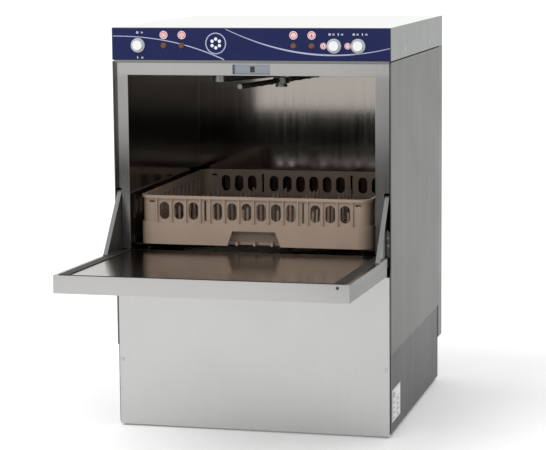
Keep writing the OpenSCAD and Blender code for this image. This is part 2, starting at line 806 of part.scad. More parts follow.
module door_seals() color("black") on_door() {
    both_sides() {
        box([seal_in, 282], [-door_l + 3, arm_foot_y - 4], seal_z);
        box([seal_in, 275], [arm_foot_y - 4, 8], seal_z);
    }
    wide(2 * seal_in, [-door_l + 3, -door_l + 7], [door_top, door_top + 0.8]);
}

module door_stiffener() color("gray") on_door() difference() {
    wide(480, [-230, -180], [door_low + sheet, door_top - sheet]);
    wide(500, [-228, -182], [door_low + sheet - 1, door_top - 2 * sheet]);
}

foot_screws_y = [arm_foot_y + 14, arm_foot_y + 52];

module door_arm() {
    foot_z = door_top;
    difference() {
        side_plate(arm_x, arm_t) union() {
            polygon([[arm_foot_y, foot_z], arm_tip, arm_tip + [13, 0], [33, 126], [33, spring_pin[1]],
                     [25, 17], [9, 0], [0, -9], [-9, 0], [-9, foot_z]]);
            circle(r = 9);
            translate(spring_pin) circle(r = 8);
        }
        along_x(hinge_pin_r + run_gap, arm_x - 1, arm_x + arm_t + 1);
    }
    run = arm_tip - [arm_foot_y, foot_z];
    side = [run[1], -run[0]] / norm(run) * 2;
    side_plate(arm_x, arm_flange) polygon([[arm_foot_y, foot_z], arm_tip, arm_tip + side,
                                           [arm_foot_y, foot_z] + side + [0, 2]]);
    difference() {
        box([276, arm_x + arm_flange], [arm_foot_y, -16], [foot_z, foot_z + sheet]);
        for (y = foot_screws_y) translate([279, y, foot_z - 1]) cylinder(h = 4, r = 2.4);
    }
    translate([0, spring_pin[0], spring_pin[1]]) {
        along_x(spring_pin_r, 267, arm_x);
        along_x(4.4, 266, 267.2);
    }
}

module door_arm_right() color("silver") on_door() door_arm();

module door_arm_left() color("silver") on_door() mirror([1, 0, 0]) door_arm();

module door_screws() color("dimgray") on_door() {
    both_sides() for (y = foot_screws_y) translate([279, y, door_top]) cylinder(h = sheet - 0.1, r = 2.4);
    translate([lip_screw[0], 0, lip_screw[1]]) along_y(3.2, -door_l, -door_l + sheet);
}

// ---------- rack ----------

window_w = 21;
window_h = 37;
window_z = 71;
window_pitch = 31.6;
side_pitch = 32;
band_z = 46;
band_in = 4;
rim_h = 6;
side_group = 4.16;
windows_x = [for (g = [-1 : 1], i = [0 : (g == 0 ? 5 : 2)])
    (g == 0 ? i - 2.5 : g * (side_group + i)) * window_pitch];
ribs_x = [for (g = [-1 : 1], i = [0 : (g == 0 ? 6 : 3)])
    (g == 0 ? i - 3 : g * (side_group - 0.5 + i)) * window_pitch];

// The wall is set back above band_z, under a rim of the full size
module rack_shell() {
    difference() {
        union() {
            linear_extrude(band_z) round_square(rack_w, rack_corner);
            linear_extrude(rack_h) round_square(rack_w - 2 * band_in, rack_corner - band_in);
            translate([0, 0, rack_h - rim_h]) linear_extrude(rim_h) round_square(rack_w, rack_corner);
        }
        translate([0, 0, -1]) linear_extrude(band_z - rack_wall + 1)
            round_square(rack_w - 2 * rack_wall, rack_corner - rack_wall);
        translate([0, 0, -1]) linear_extrude(rack_h + 2)
            round_square(rack_w - 2 * (band_in + rack_wall), rack_corner - band_in - rack_wall);
    }
}

hold_w = 92;
hold_h = 31;
hold_depth = 26;
slot_x = 3.33 * window_pitch;
corner_slot_x = 222;

// Windows, slots and hand-hold of the walls that face the front and the back
module wall_windows() {
    rotate([90, 0, 0]) linear_extrude(rack_w + 20, center = true) {
        for (x = windows_x) translate([x, window_z]) slot2d(window_w, window_h);
        for (s = [-1, 1]) {
            translate([s * slot_x, window_z + 1]) square([5, 43], center = true);
            translate([s * corner_slot_x, rack_h - 13]) square([12, 4], center = true);
        }
        polygon([[-hold_w / 2 - 12, -1], [hold_w / 2 + 12, -1], [hold_w / 2, hold_h], [-hold_w / 2, hold_h]]);
    }
}

// The inner wall of a hand-hold, with a ledge above it and ribs that the fingers pull on
module hand_hold() {
    back = -rack_w / 2 + hold_depth;
    front = -rack_w / 2 + rack_wall - 0.5;
    pocket_w = hold_w + 28;
    translate([-pocket_w / 2, back, 0]) cube([pocket_w, rack_wall, hold_h + rack_wall]);
    for (z = [12, 20]) translate([-hold_w / 2, back - 1.2, z]) cube([hold_w, 1.4, 2]);
    translate([-pocket_w / 2, front, hold_h]) cube([pocket_w, hold_depth - 2, rack_wall]);
    for (s = [-1, 1]) translate([s * (pocket_w - 3) / 2 - 1.5, front, 0])
        cube([3, hold_depth - 2, hold_h + 1]);
}

// Windows of the side walls, and their stepped lower edge
module side_windows() {
    for (i = [-5.5 : 5.5]) translate([0, i * side_pitch, window_z]) rotate([90, 0, 90])
        linear_extrude(rack_w + 20, center = true) slot2d(window_w, window_h);
    rotate([90, 0, 90]) linear_extrude(rack_w + 20, center = true)
        polygon([[-150, -1], [150, -1], [135, 26], [-135, 26]]);
}

module wall_rib() {
    translate([0, -(rack_w - band_in) / 2, (rack_h + band_z) / 2])
        cube([2.4, band_in + 0.6, rack_h - band_z - 1], center = true);
}

module wall_ribs() {
    for (turn = [0, 180]) rotate([0, 0, turn]) for (x = ribs_x) translate([x, 0, 0]) wall_rib();
    for (turn = [90, 270]) rotate([0, 0, turn]) for (i = [-6 : 6])
        translate([i * side_pitch, 0, 0]) wall_rib();
}

module rack_grid() {
    pitch = 38;
    intersection() {
        linear_extrude(9) round_square(rack_w - 2 * rack_wall + 0.4, rack_corner - rack_wall);
        union() for (i = [-6 : 6]) {
            translate([i * pitch, 0, 3.5]) cube([4, rack_w, 7], center = true);
            translate([0, i * pitch, 3.5]) cube([rack_w, 4, 7], center = true);
        }
    }
    for (i = [-5 : 2 : 5], j = [-5 : 5]) translate([i * pitch, j * pitch, 6])
        cylinder(h = 62, r1 = 4.2, r2 = 2.6, $fn = 16);
}

module dish_rack() color("rosybrown") in_frame() translate([0, rack_y + rack_w / 2, rack_z]) {
    difference() {
        union() {
            rack_shell();
            wall_ribs();
        }
        wall_windows();
        side_windows();
    }
    rack_grid();
    for (turn = [0, 180]) rotate([0, 0, turn]) hand_hold();
}

base_frame();
base_rear_panel();
levelling_feet();
foot_lock_nuts();
side_panel_left();
side_panel_right();
base_panel_left();
base_panel_right();
lower_front_panel();
front_frame();
finger_pocket();
door_switch();
top_cap();
control_fascia();
fascia_symbols();
button_bezels();
indicator_lamps();
rear_cover();
panel_screws();
rating_label();
wash_chamber();
rack_rails();
wash_tank();
filter_tray();
tank_heater();
drain_outlet();
wash_pump_casing();
wash_pump_motor();
rinse_boiler();
inlet_valve();
inlet_fitting();
dosing_pumps();
pressure_switch();
control_board();
contactor();
cable_gland();
lower_spindle();
upper_spindle();
wash_riser();
rinse_riser();
hinge_brackets();
hinge_pins();
door_springs();
door_outer_skin();
door_inner_panel();
door_seals();
door_stiffener();
door_arm_left();
door_arm_right();
door_screws();
dish_rack();
lower_wash_arm();
lower_rinse_arm();
upper_wash_arm();
upper_rinse_arm();
power_button();
rinse_button();
wash_button();
pump_impeller();
standpipe();
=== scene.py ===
"""Looks of an undercounter commercial dishwasher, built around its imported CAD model.

The CAD nodes keep their places and get rounded edges and node-based materials. Blender adds
the printed graphics of the fascia, the coil springs of the door and other small detail.
"""

import json
import math

import bmesh
import bpy
from mathutils import Matrix, Vector


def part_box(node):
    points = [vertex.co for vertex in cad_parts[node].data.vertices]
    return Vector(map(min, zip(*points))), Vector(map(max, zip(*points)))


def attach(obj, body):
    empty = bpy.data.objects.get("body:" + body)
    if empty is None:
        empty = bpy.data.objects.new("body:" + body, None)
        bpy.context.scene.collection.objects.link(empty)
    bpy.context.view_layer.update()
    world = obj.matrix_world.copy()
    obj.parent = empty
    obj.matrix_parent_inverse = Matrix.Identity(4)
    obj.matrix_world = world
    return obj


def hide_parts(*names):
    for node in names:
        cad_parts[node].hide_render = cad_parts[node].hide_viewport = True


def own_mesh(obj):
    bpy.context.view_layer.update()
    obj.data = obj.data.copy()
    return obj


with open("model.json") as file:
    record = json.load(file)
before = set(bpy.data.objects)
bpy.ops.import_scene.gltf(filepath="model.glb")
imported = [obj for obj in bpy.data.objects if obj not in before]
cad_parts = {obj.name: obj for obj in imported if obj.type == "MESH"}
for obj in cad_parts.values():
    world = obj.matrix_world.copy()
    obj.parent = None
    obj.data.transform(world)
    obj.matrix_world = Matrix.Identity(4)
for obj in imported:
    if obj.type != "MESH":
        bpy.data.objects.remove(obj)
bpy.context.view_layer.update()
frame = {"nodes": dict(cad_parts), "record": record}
NODES = frame["nodes"]
FRONT_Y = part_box("front_frame")[0].y

MM = 0.001

# The emblem's middle on the fascia, in millimetres
EMBLEM_X, EMBLEM_Z = -71, 815.5


# ---------- materials ----------


class Look:
    """One Principled material with a few short ways to wire its nodes."""

    def __init__(self, name, colour, roughness, metallic=0.0, **sockets):
        self.material = bpy.data.materials.new(name)
        self.material.use_nodes = True
        self.tree = self.material.node_tree
        self.shader = self.tree.nodes["Principled BSDF"]
        self.object_space = self.tree.nodes.new("ShaderNodeTexCoord").outputs["Object"]
        self.set("Base Color", (*colour, 1.0))
        self.set("Roughness", roughness)
        self.set("Metallic", metallic)
        for socket, value in sockets.items():
            self.set(socket.replace("_", " ").title().replace("Ior", "IOR"), value)

    def set(self, socket, value):
        self.shader.inputs[socket].default_value = value

    def link(self, output, socket):
        self.tree.links.new(output, self.shader.inputs[socket])

    def add(self, kind, inputs=None, **settings):
        node = self.tree.nodes.new(kind)
        for key, value in settings.items():
            setattr(node, key, value)
        for key, value in (inputs or {}).items():
            if isinstance(value, bpy.types.NodeSocket):
                self.tree.links.new(value, node.inputs[key])
            else:
                node.inputs[key].default_value = value
        return node

    def noise(self, scale, detail=3.0, roughness=0.5, distortion=0.0, offset=(0, 0, 0)):
        """Noise in object space; scale is cells per metre along each axis."""
        scale = scale if hasattr(scale, "__len__") else (scale,) * 3
        place = self.add("ShaderNodeMapping",
                         {"Vector": self.object_space, "Scale": scale, "Location": offset})
        return self.add("ShaderNodeTexNoise",
                        {"Vector": place.outputs[0], "Scale": 1.0, "Detail": detail,
                         "Roughness": roughness, "Distortion": distortion}).outputs["Fac"]

    def span(self, value, low, high, to_low=0.0, to_high=1.0):
        return self.add("ShaderNodeMapRange",
                        {"Value": value, "From Min": low, "From Max": high,
                         "To Min": to_low, "To Max": to_high}).outputs["Result"]

    def maths(self, operation, a, b):
        return self.add("ShaderNodeMath", {0: a, 1: b}, operation=operation).outputs[0]

    def blend(self, factor, first, second):
        """A colour between two others, each an RGB triple or a socket."""
        node = self.add("ShaderNodeMix", {"Factor": factor}, data_type="RGBA")
        for index, value in ((6, first), (7, second)):
            if isinstance(value, bpy.types.NodeSocket):
                self.tree.links.new(value, node.inputs[index])
            else:
                node.inputs[index].default_value = (*value, 1.0)
        return node.outputs[2]

    def bump(self, height, strength, distance=0.001):
        node = self.add("ShaderNodeBump", {"Height": height, "Strength": strength,
                                           "Distance": distance})
        self.link(node.outputs[0], "Normal")


def tinted(colour, factor):
    return tuple(min(1.0, c * factor) for c in colour)


def steel(name, colour, roughness=0.3, grain="Z", streak=0.03, smudge=0.05, painted_shade=None):
    """Brushed sheet steel: fine streaks along the grain and broad smudges.

    An optional function of the look may return a socket that darkens the colour over the sheet: painted
    shade.
    """
    look = Look(name, colour, roughness, metallic=1.0)
    along, across = 5.0, 620.0
    scale = [along if axis == grain else across for axis in "XYZ"]
    fine = look.noise(scale, detail=4.0, roughness=0.65)
    broad = look.noise([c * 0.16 for c in scale], detail=2.0, offset=(3.1, 1.7, 0.4))
    cloud = look.noise(5.0, detail=3.0, distortion=0.6, offset=(0.3, 2.2, 5.1))
    grain_value = look.maths("ADD", look.maths("MULTIPLY", fine, 0.6), look.maths("MULTIPLY", broad, 0.4))
    streaks = look.blend(look.span(grain_value, 0.3, 0.7),
                         tinted(colour, 1 - streak), tinted(colour, 1 + streak))
    clouded = look.blend(look.span(cloud, 0.35, 0.65, 0.0, smudge * 2.5),
                         streaks, tinted(colour, 1 - smudge))
    rough = look.maths("ADD", look.span(grain_value, 0.3, 0.7, roughness - 0.05, roughness + 0.05),
                       look.span(cloud, 0.3, 0.7, -smudge * 0.4, smudge * 0.6))
    # Painted shade: the colour is scaled towards black where the given function says.
    if painted_shade:
        clouded = look.blend(painted_shade(look), (0.0, 0.0, 0.0), clouded)
    look.link(clouded, "Base Color")
    look.link(rough, "Roughness")
    look.bump(grain_value, 0.025, 0.0003)
    return look.material


def frame_painted_shade(look):
    """Painted shade on the front frame: its posts are drawn darker than its top band, and darker still at
    the left fold.
    """
    place = look.add("ShaderNodeSeparateXYZ", {"Vector": look.object_space}).outputs
    outward = look.maths("ABSOLUTE", place["X"], 0.0)
    post = look.span(outward, 0.255, 0.268)
    below = look.span(place["Z"], 0.757, 0.742)
    post_painted_shade = look.maths("MULTIPLY", look.maths("MULTIPLY", post, below), 0.18)
    fold = look.span(place["X"], -0.2842, -0.2858, 0.0, 0.78)
    return look.maths("MULTIPLY", look.maths("SUBTRACT", 1.0, post_painted_shade), look.maths("SUBTRACT", 1.0, fold))


def plastic(name, colour, roughness=0.45, texture=700.0, relief=0.06, mottle=0.06, **sockets):
    """Moulded plastic or rubber: a fine eroded texture and faint colour variation."""
    look = Look(name, colour, roughness, **sockets)
    pits = look.noise(texture, detail=2.0)
    cloud = look.noise(9.0, detail=3.0, distortion=0.4, offset=(1.2, 0.7, 4.2))
    look.link(look.blend(look.span(cloud, 0.35, 0.65), tinted(colour, 1 - mottle),
                         tinted(colour, 1 + mottle)), "Base Color")
    look.link(look.maths("ADD", look.span(pits, 0.3, 0.7, roughness - 0.05, roughness + 0.05),
                         look.span(cloud, 0.3, 0.7, -0.03, 0.04)), "Roughness")
    look.bump(pits, relief, 0.0003)
    return look.material


def make_materials():
    return {
        "front_steel": steel("satin_steel_front", (0.53, 0.53, 0.525), 0.36, "Z", 0.03),
        # The front frame's sheet, with painted shade on its posts and its left fold.
        "frame_front_painted_shade": steel("satin_steel_frame_painted_shade", (0.40, 0.39, 0.38), 0.3, "Z", 0.03, painted_shade=frame_painted_shade),
        # The cap is one sheet: its top is drawn far lighter as painted light, its side faces far darker
        # as painted shade.
        "cap_top_painted_light": steel("satin_steel_cap_top_painted_light", (0.93, 0.93, 0.915), 0.4, "Y", 0.02, 0.03),
        "cap_side_painted_shade": steel("satin_steel_cap_side_painted_shade", (0.228, 0.238, 0.23), 0.42, "Z", 0.02, 0.04),
        "lip_steel": steel("satin_steel_door", (0.48, 0.475, 0.465), 0.36, "X", 0.03),
        # The door's side faces: the sheet of its lip drawn far darker, as painted shade.
        "door_side_painted_shade": steel("satin_steel_door_side_painted_shade", (0.125, 0.128, 0.12), 0.36, "Y", 0.03),
        # The side panels: the sheet drawn much darker than the front, as painted shade.
        "side_steel": steel("side_steel_painted_shade", (0.146, 0.149, 0.137), 0.48, "Z", 0.02, 0.04),
        # The base panels: drawn darker still, as painted shade.
        "base_steel": steel("base_steel_painted_shade", (0.101, 0.104, 0.101), 0.5, "Z", 0.03, 0.05),
        # The rear cover: drawn dark like the side panels, as painted shade.
        "rear_steel": steel("rear_sheet_painted_shade", (0.17, 0.172, 0.165), 0.46, "Z", 0.04, 0.12),
        "chamber_steel": steel("chamber_steel", (0.32, 0.295, 0.265), 0.11, "Z", 0.03, 0.04),
        "pocket_steel": steel("pocket_steel", (0.24, 0.262, 0.295), 0.22, "X", 0.03, 0.05),
        "panel_steel": steel("door_inner_steel", (0.30, 0.262, 0.225), 0.17, "X", 0.03, 0.06),
        # The arms: pressed steel drawn darker, as painted shade.
        "arm_steel": steel("pressed_steel_painted_shade", (0.27, 0.27, 0.265), 0.4, "Z", 0.03, 0.06),
        "frame_steel": plastic("coated_frame_steel", (0.06, 0.06, 0.065), 0.45, mottle=0.15),
        "fastener_steel": steel("fastener_steel", (0.5, 0.5, 0.5), 0.26, "Z", 0.02, 0.05),
        "spring_steel": steel("spring_wire", (0.34, 0.34, 0.35), 0.28, "Z", 0.05, 0.1),
        "brass": steel("machined_brass", (0.68, 0.5, 0.22), 0.26, "X", 0.04, 0.12),
        "copper_pipe": steel("copper_pipe", (0.72, 0.38, 0.26), 0.3, "Y", 0.04, 0.2),
        "foot_rubber": plastic("foot_plastic", (0.03, 0.03, 0.03), 0.6),
        "seal_rubber": plastic("seal_rubber", (0.018, 0.018, 0.018), 0.62, 500.0, 0.12),
        "fascia_navy": plastic("fascia_overlay", (0.0095, 0.014, 0.072), 0.4, 1400.0, 0.03, 0.05,
                               specular_ior_level=0.15),
        "symbol_ink": plastic("white_ink", (0.74, 0.75, 0.80), 0.45, mottle=0.02),
        "red_ink": plastic("red_ink", (0.60, 0.09, 0.07), 0.45, mottle=0.03),
        "arc_ink": plastic("pale_blue_ink", (0.36, 0.38, 0.53), 0.4, mottle=0.05),
        "bezel_grey": plastic("bezel_plastic", (0.40, 0.43, 0.46), 0.3, 1200.0, 0.03),
        "button_white": plastic("button_plastic", (0.74, 0.75, 0.75), 0.28, 1500.0, 0.02, 0.02,
                                coat_weight=0.3, coat_roughness=0.15),
        "lamp_amber": plastic("lamp_lens", (0.105, 0.03, 0.003), 0.2, 300.0, 0.1, 0.2,
                              coat_weight=0.25, coat_roughness=0.05),
        "label_white": plastic("label_foil", (0.66, 0.67, 0.66), 0.4, mottle=0.03),
        "label_grey": plastic("label_print", (0.26, 0.27, 0.27), 0.45, mottle=0.03),
        "black_plastic": plastic("black_plastic", (0.025, 0.025, 0.026), 0.42),
        "white_plastic": plastic("white_plastic", (0.7, 0.7, 0.67), 0.4),
        "rack_plastic": plastic("rack_polypropylene", (0.345, 0.262, 0.205), 0.45, 520.0, 0.1, 0.05,
                                specular_ior_level=0.3),
        "motor_blue": plastic("motor_paint", (0.05, 0.11, 0.2), 0.35, 900.0, 0.05, 0.1),
        "board_green": plastic("board_lacquer", (0.015, 0.12, 0.05), 0.3, 400.0, 0.05, 0.1),
        "black_card": plastic("black_card", (0.004, 0.004, 0.004), 1.0, specular_ior_level=0.0),
        "dim_card": plastic("dim_card", (0.004, 0.004, 0.004), 1.0, specular_ior_level=0.0,
                            emission_color=(1.0, 0.97, 0.9, 1.0), emission_strength=0.1),
        "floor": plastic("pale_floor", (0.9, 0.9, 0.9), 0.7, 60.0, 0.02, 0.01,
                         emission_color=(1.0, 1.0, 1.0, 1.0), emission_strength=0.12),
    }


LOOKS = make_materials()
OWN_LOOK = {
    "top_cap": "cap_top_painted_light",
    "front_frame": "frame_front_painted_shade",
    "door_outer_skin": "lip_steel",
    "door_inner_panel": "panel_steel",
    "finger_pocket": "pocket_steel",
}


def on_emblem_ring(centre):
    reach = math.hypot(centre.x - EMBLEM_X * MM, centre.z - EMBLEM_Z * MM)
    return 18.5 * MM < reach < 23 * MM


# Faces that wear another look than the rest of their node: a look and a test of normal and centre. The
# side faces of the cap and of the door wear painted shade; the ring on the fascia is print.
FACE_LOOK = {
    "top_cap": ("cap_side_painted_shade", lambda normal, centre: normal.z < 0.7),
    "door_outer_skin": ("door_side_painted_shade", lambda normal, centre: abs(normal.x) > 0.7),
    "fascia_symbols": ("arc_ink", lambda normal, centre: on_emblem_ring(centre)),
}
EDGE_RADIUS = {
    "dish_rack": 0.9,
    "top_cap": 1.2,
    "door_outer_skin": 0.9,
    "front_frame": 0.4,
    "button_bezels": 0.5,
    "power_button": 0.7,
    "rinse_button": 0.7,
    "wash_button": 0.7,
    "finger_pocket": 0.4,
    "side_panel_left": 0.9,
    "side_panel_right": 0.9,
    "cable_gland": 0.5,
    "levelling_feet": 1.0,
}
DEFAULT_EDGE = 0.35
# Thin prints, and a sheet whose rounding would draw a line between its two screw holes
FLAT_NODES = ("fascia_symbols", "rating_label", "lower_front_panel")


def round_edges(piece, radius):
    """Welds the faces of an imported node and gives its sharp edges a small radius."""
    weld = piece.modifiers.new("weld", "WELD")
    weld.merge_threshold = 0.00001
    bevel = piece.modifiers.new("edges", "BEVEL")
    bevel.width = radius * MM
    bevel.segments = 2
    bevel.limit_method = "ANGLE"
    bevel.angle_limit = math.radians(38)
    bevel.use_clamp_overlap = True
    bevel.face_strength_mode = "FSTR_ALL"
    normals = piece.modifiers.new("normals", "WEIGHTED_NORMAL")
    normals.keep_sharp = False
    normals.weight = 100
    normals.use_face_influence = True


def dress_nodes():
    slots = {s["node"]: s["material_slot"] for s in frame["record"]["subparts"]}
    for name, node in NODES.items():
        node.data.materials.clear()
        node.data.materials.append(LOOKS[OWN_LOOK.get(name, slots[name])])
        node.data.polygons.foreach_set("use_smooth", [True] * len(node.data.polygons))
        if name in FACE_LOOK:
            look, worn_by = FACE_LOOK[name]
            node.data.materials.append(LOOKS[look])
            for face in node.data.polygons:
                face.material_index = int(worn_by(face.normal, face.center))
        if name in FLAT_NODES:
            node.data.polygons.foreach_set("use_smooth", [False] * len(node.data.polygons))
        else:
            round_edges(node, EDGE_RADIUS.get(name, DEFAULT_EDGE))


dress_nodes()


# ---------- mesh helpers ----------


def add_piece(name, mesh, body, slot, look=None, smooth=True):
    """Links a new mesh as one piece that rides on a body and wears a material slot's look."""
    piece = bpy.data.objects.new(name, mesh)
    bpy.context.scene.collection.objects.link(piece)
    mesh.materials.append(LOOKS[look or slot])
    mesh.polygons.foreach_set("use_smooth", [smooth] * len(mesh.polygons))
    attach(piece, body)
    return piece


def mesh_from(name, build):
    """A mesh that the function build makes in a bmesh."""
    mesh = bpy.data.meshes.new(name)
    shape = bmesh.new()
    build(shape)
    bmesh.ops.recalc_face_normals(shape, faces=shape.faces)
    shape.to_mesh(mesh)
    shape.free()
    return mesh


# ---------- printed graphics of the fascia ----------

INK_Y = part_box("control_fascia")[0].y
INK_T = 0.12 * MM


def flat_shape(shape, outline, lift=0.0):
    """Adds a thin closed plate with this outline (points X, Z in metres) on the fascia's face."""
    back = INK_Y - lift
    rear = [shape.verts.new((x, back, z)) for x, z in outline]
    front = [shape.verts.new((x, back - INK_T, z)) for x, z in outline]
    shape.faces.new(front)
    shape.faces.new(reversed(rear))
    for i in range(len(outline)):
        j = (i + 1) % len(outline)
        shape.faces.new((rear[i], rear[j], front[j], front[i]))


def flat_ring(shape, x, z, outer, inner, lift=0.0, steps=40):
    """A flat ring, made of a strip of quads front and back."""
    back = INK_Y - lift
    corners = []
    for i in range(steps):
        turn = 2 * math.pi * i / steps
        c, s = math.cos(turn), math.sin(turn)
        corners.append([shape.verts.new((x + r * c, y, z + r * s))
                        for r, y in ((outer, back), (outer, back - INK_T),
                                     (inner, back - INK_T), (inner, back))])
    for i in range(steps):
        a, b = corners[i], corners[(i + 1) % steps]
        for k in range(4):
            shape.faces.new((a[k], b[k], b[(k + 1) % 4], a[(k + 1) % 4]))


def disc_outline(x, z, radius, steps=28):
    return [(x + radius * math.cos(2 * math.pi * i / steps),
             z + radius * math.sin(2 * math.pi * i / steps)) for i in range(steps)]


def bar_outline(x, z, width, height):
    return [(x - width / 2, z - height / 2), (x + width / 2, z - height / 2),
            (x + width / 2, z + height / 2), (x - width / 2, z + height / 2)]


def ribbon_at(shape, line, width, lift):
    """A flat band along the points of line, as wide as width(share) says."""
    last = len(line) - 1
    left, right = [], []
    for i, (x, z) in enumerate(line):
        x0, z0 = line[max(0, i - 1)]
        x1, z1 = line[min(last, i + 1)]
        along = Vector((x1 - x0, z1 - z0)).normalized()
        half = width(i / last) / 2
        left.append((x - along.y * half, z + along.x * half))
        right.append((x + along.y * half, z - along.x * half))
    flat_shape(shape, right + left[::-1], lift)


def left_arc():
    """From the left end of the fascia, level at first, then down to its lower edge."""
    start, reach, fall, power = -293.5, 240.0, 48.0, 2.24
    top = 830.0
    return [((start + reach * t) * MM, (top - fall * t ** power) * MM)
            for t in [i / 40 for i in range(41)]]


def right_arc():
    """From the upper edge, down to its lowest point below the right buttons and up again."""
    start, end, lowest, floor, bend = -50.0, 293.5, 176.0, 792.3, 0.00103
    xs = [start + (end - start) * i / 60 for i in range(61)]
    return [(x * MM, (floor + bend * (x - lowest) ** 2) * MM) for x in xs]


def fascia_arcs():
    def build(shape):
        ribbon_at(shape, left_arc(), lambda t: (1.5 + 0.9 * t) * MM, 0.0)
        ribbon_at(shape, right_arc(), lambda t: (1.4 + 1.9 * math.sin(math.pi * t) ** 1.5) * MM, 0.0)
    add_piece("fascia_arcs", mesh_from("fascia_arcs", build), "cabinet", "symbol_ink", "arc_ink",
              smooth=False)


fascia_arcs()

BUTTON_X = [-239, 178, 228]
LAMP_X = [-183, -144, 93.5, 131.5]
CONTROL_Z, SYMBOL_Z = 811, 832.5


def spots(line):
    """Points in millimetres, as points in metres."""
    return [(x * MM, z * MM) for x, z in line]


def digit_marks():
    """0 and 1 by each button, each with a small mark of two bars and a stem."""
    power_x, power_mark_x = BUTTON_X[0] - 1, BUTTON_X[0] + 9
    power_nought_z, power_one_z, row_z = 837.5, 785.5, 834.5

    def nought(shape, x, z):
        flat_ring(shape, x * MM, z * MM, 2.3 * MM, 1.2 * MM, steps=24)

    def one(shape, x, z):
        flat_shape(shape, spots([(x - 0.6, z - 2.4), (x + 0.7, z - 2.4), (x + 0.7, z + 2.4),
                                 (x - 0.3, z + 2.4), (x - 1.5, z + 1.2), (x - 1.2, z + 0.6),
                                 (x - 0.6, z + 1.0)]))

    def pair(shape, x, z):
        for step in (-1.2, 1.2):
            flat_shape(shape, bar_outline(x * MM, (z + step * 0.8) * MM, 4.6 * MM, 0.9 * MM))
        flat_shape(shape, bar_outline(x * MM, z * MM, 1.0 * MM, 3.0 * MM))

    def build(shape):
        nought(shape, power_x, power_nought_z)
        pair(shape, power_mark_x, power_nought_z)
        one(shape, power_x, power_one_z)
        pair(shape, power_mark_x, power_one_z)
        for middle in BUTTON_X[1:]:
            nought(shape, middle - 9, row_z)
            pair(shape, middle - 1, row_z)
            one(shape, middle + 9, row_z)
            pair(shape, middle + 17, row_z)
    add_piece("fascia_digits", mesh_from("fascia_digits", build), "cabinet", "symbol_ink", smooth=False)


def arc_line(x, z, radius, start, end, steps=16):
    return [((x + radius * math.cos(math.radians(start + (end - start) * i / steps))) * MM,
             (z + radius * math.sin(math.radians(start + (end - start) * i / steps))) * MM)
            for i in range(steps + 1)]


def red_symbols():
    """Red pictograms on the white discs: a turning arrow, a heater, a drop and a spray."""
    over = 0.4 * MM

    def ring(shape, x, z, outer, thick):
        flat_ring(shape, x * MM, z * MM, outer * MM, (outer - thick) * MM, lift=over)

    def turn(shape, x, z, size):
        line = arc_line(x, z, size * 0.6, 60, 340)
        ribbon_at(shape, line, lambda t: size * 0.3 * MM, over)
        flat_shape(shape, spots([(x + size * 0.2, z + size * 0.05), (x + size * 1.0, z + size * 0.05),
                                 (x + size * 0.6, z + size * 0.75)]), over)

    def heater(shape, x, z, size):
        for step in (-0.55, 0.0, 0.55):
            line = [((x + step * size + 0.16 * size * math.sin(i * 0.9)) * MM,
                     (z + size * (i / 7 - 0.5) * 1.5) * MM) for i in range(8)]
            ribbon_at(shape, line, lambda t: size * 0.24 * MM, over)

    def drop(shape, x, z, size):
        round_part = [(x + size * 0.6 * math.cos(math.radians(a)), z - size * 0.25
                       + size * 0.6 * math.sin(math.radians(a))) for a in range(140, 401, 20)]
        flat_shape(shape, spots(round_part + [(x, z + size * 0.95)]), over)

    def spray(shape, x, z, size):
        flat_shape(shape, bar_outline(x * MM, (z - size * 0.6) * MM, size * 1.4 * MM, size * 0.24 * MM),
                   over)
        for step in (-0.5, 0.0, 0.5):
            flat_shape(shape, disc_outline((x + step * size) * MM, (z + size * 0.05) * MM,
                                           size * 0.16 * MM, 12), over)
            flat_shape(shape, disc_outline((x + step * size * 1.2) * MM, (z + size * 0.6) * MM,
                                           size * 0.16 * MM, 12), over)

    def build(shape):
        for x, glyph in zip(LAMP_X, (turn, heater, spray, drop)):
            ring(shape, x, SYMBOL_Z, 7.1, 2.1)
            glyph(shape, x, SYMBOL_Z, 4.6)
        for x, glyph in zip((156, 206.5), (drop, turn)):
            ring(shape, x, CONTROL_Z, 5.6, 1.7)
            glyph(shape, x, CONTROL_Z, 3.3)
    add_piece("red_symbols", mesh_from("red_symbols", build), "cabinet", "symbol_ink", "red_ink",
              smooth=False)


def emblem_band():
    """The thick pale ring round the six dots."""
    def build(shape):
        flat_ring(shape, EMBLEM_X * MM, EMBLEM_Z * MM, 22.2 * MM, 19.9 * MM, lift=0.4 * MM, steps=64)
    add_piece("emblem_band", mesh_from("emblem_band", build), "cabinet", "symbol_ink", "arc_ink",
              smooth=False)


digit_marks()
red_symbols()
emblem_band()


# ---------- screws, springs and small detail ----------


def lathe(shape, profile, steps, place):
    """Turns profile, (radius, height) pairs from the axis outwards, about Z, then places it."""
    rings = []
    for radius, height in profile:
        if radius == 0:
            rings.append([shape.verts.new(place @ Vector((0, 0, height)))])
        else:
            rings.append([shape.verts.new(place @ Vector((
                radius * math.cos(2 * math.pi * i / steps), radius * math.sin(2 * math.pi * i / steps),
                height))) for i in range(steps)])
    for low_ring, high_ring in zip(rings, rings[1:]):
        for i in range(steps):
            j = (i + 1) % steps
            corners = [low_ring[i % len(low_ring)], low_ring[j % len(low_ring)],
                       high_ring[j % len(high_ring)], high_ring[i % len(high_ring)]]
            shape.faces.new(list(dict.fromkeys(corners)))
    return rings


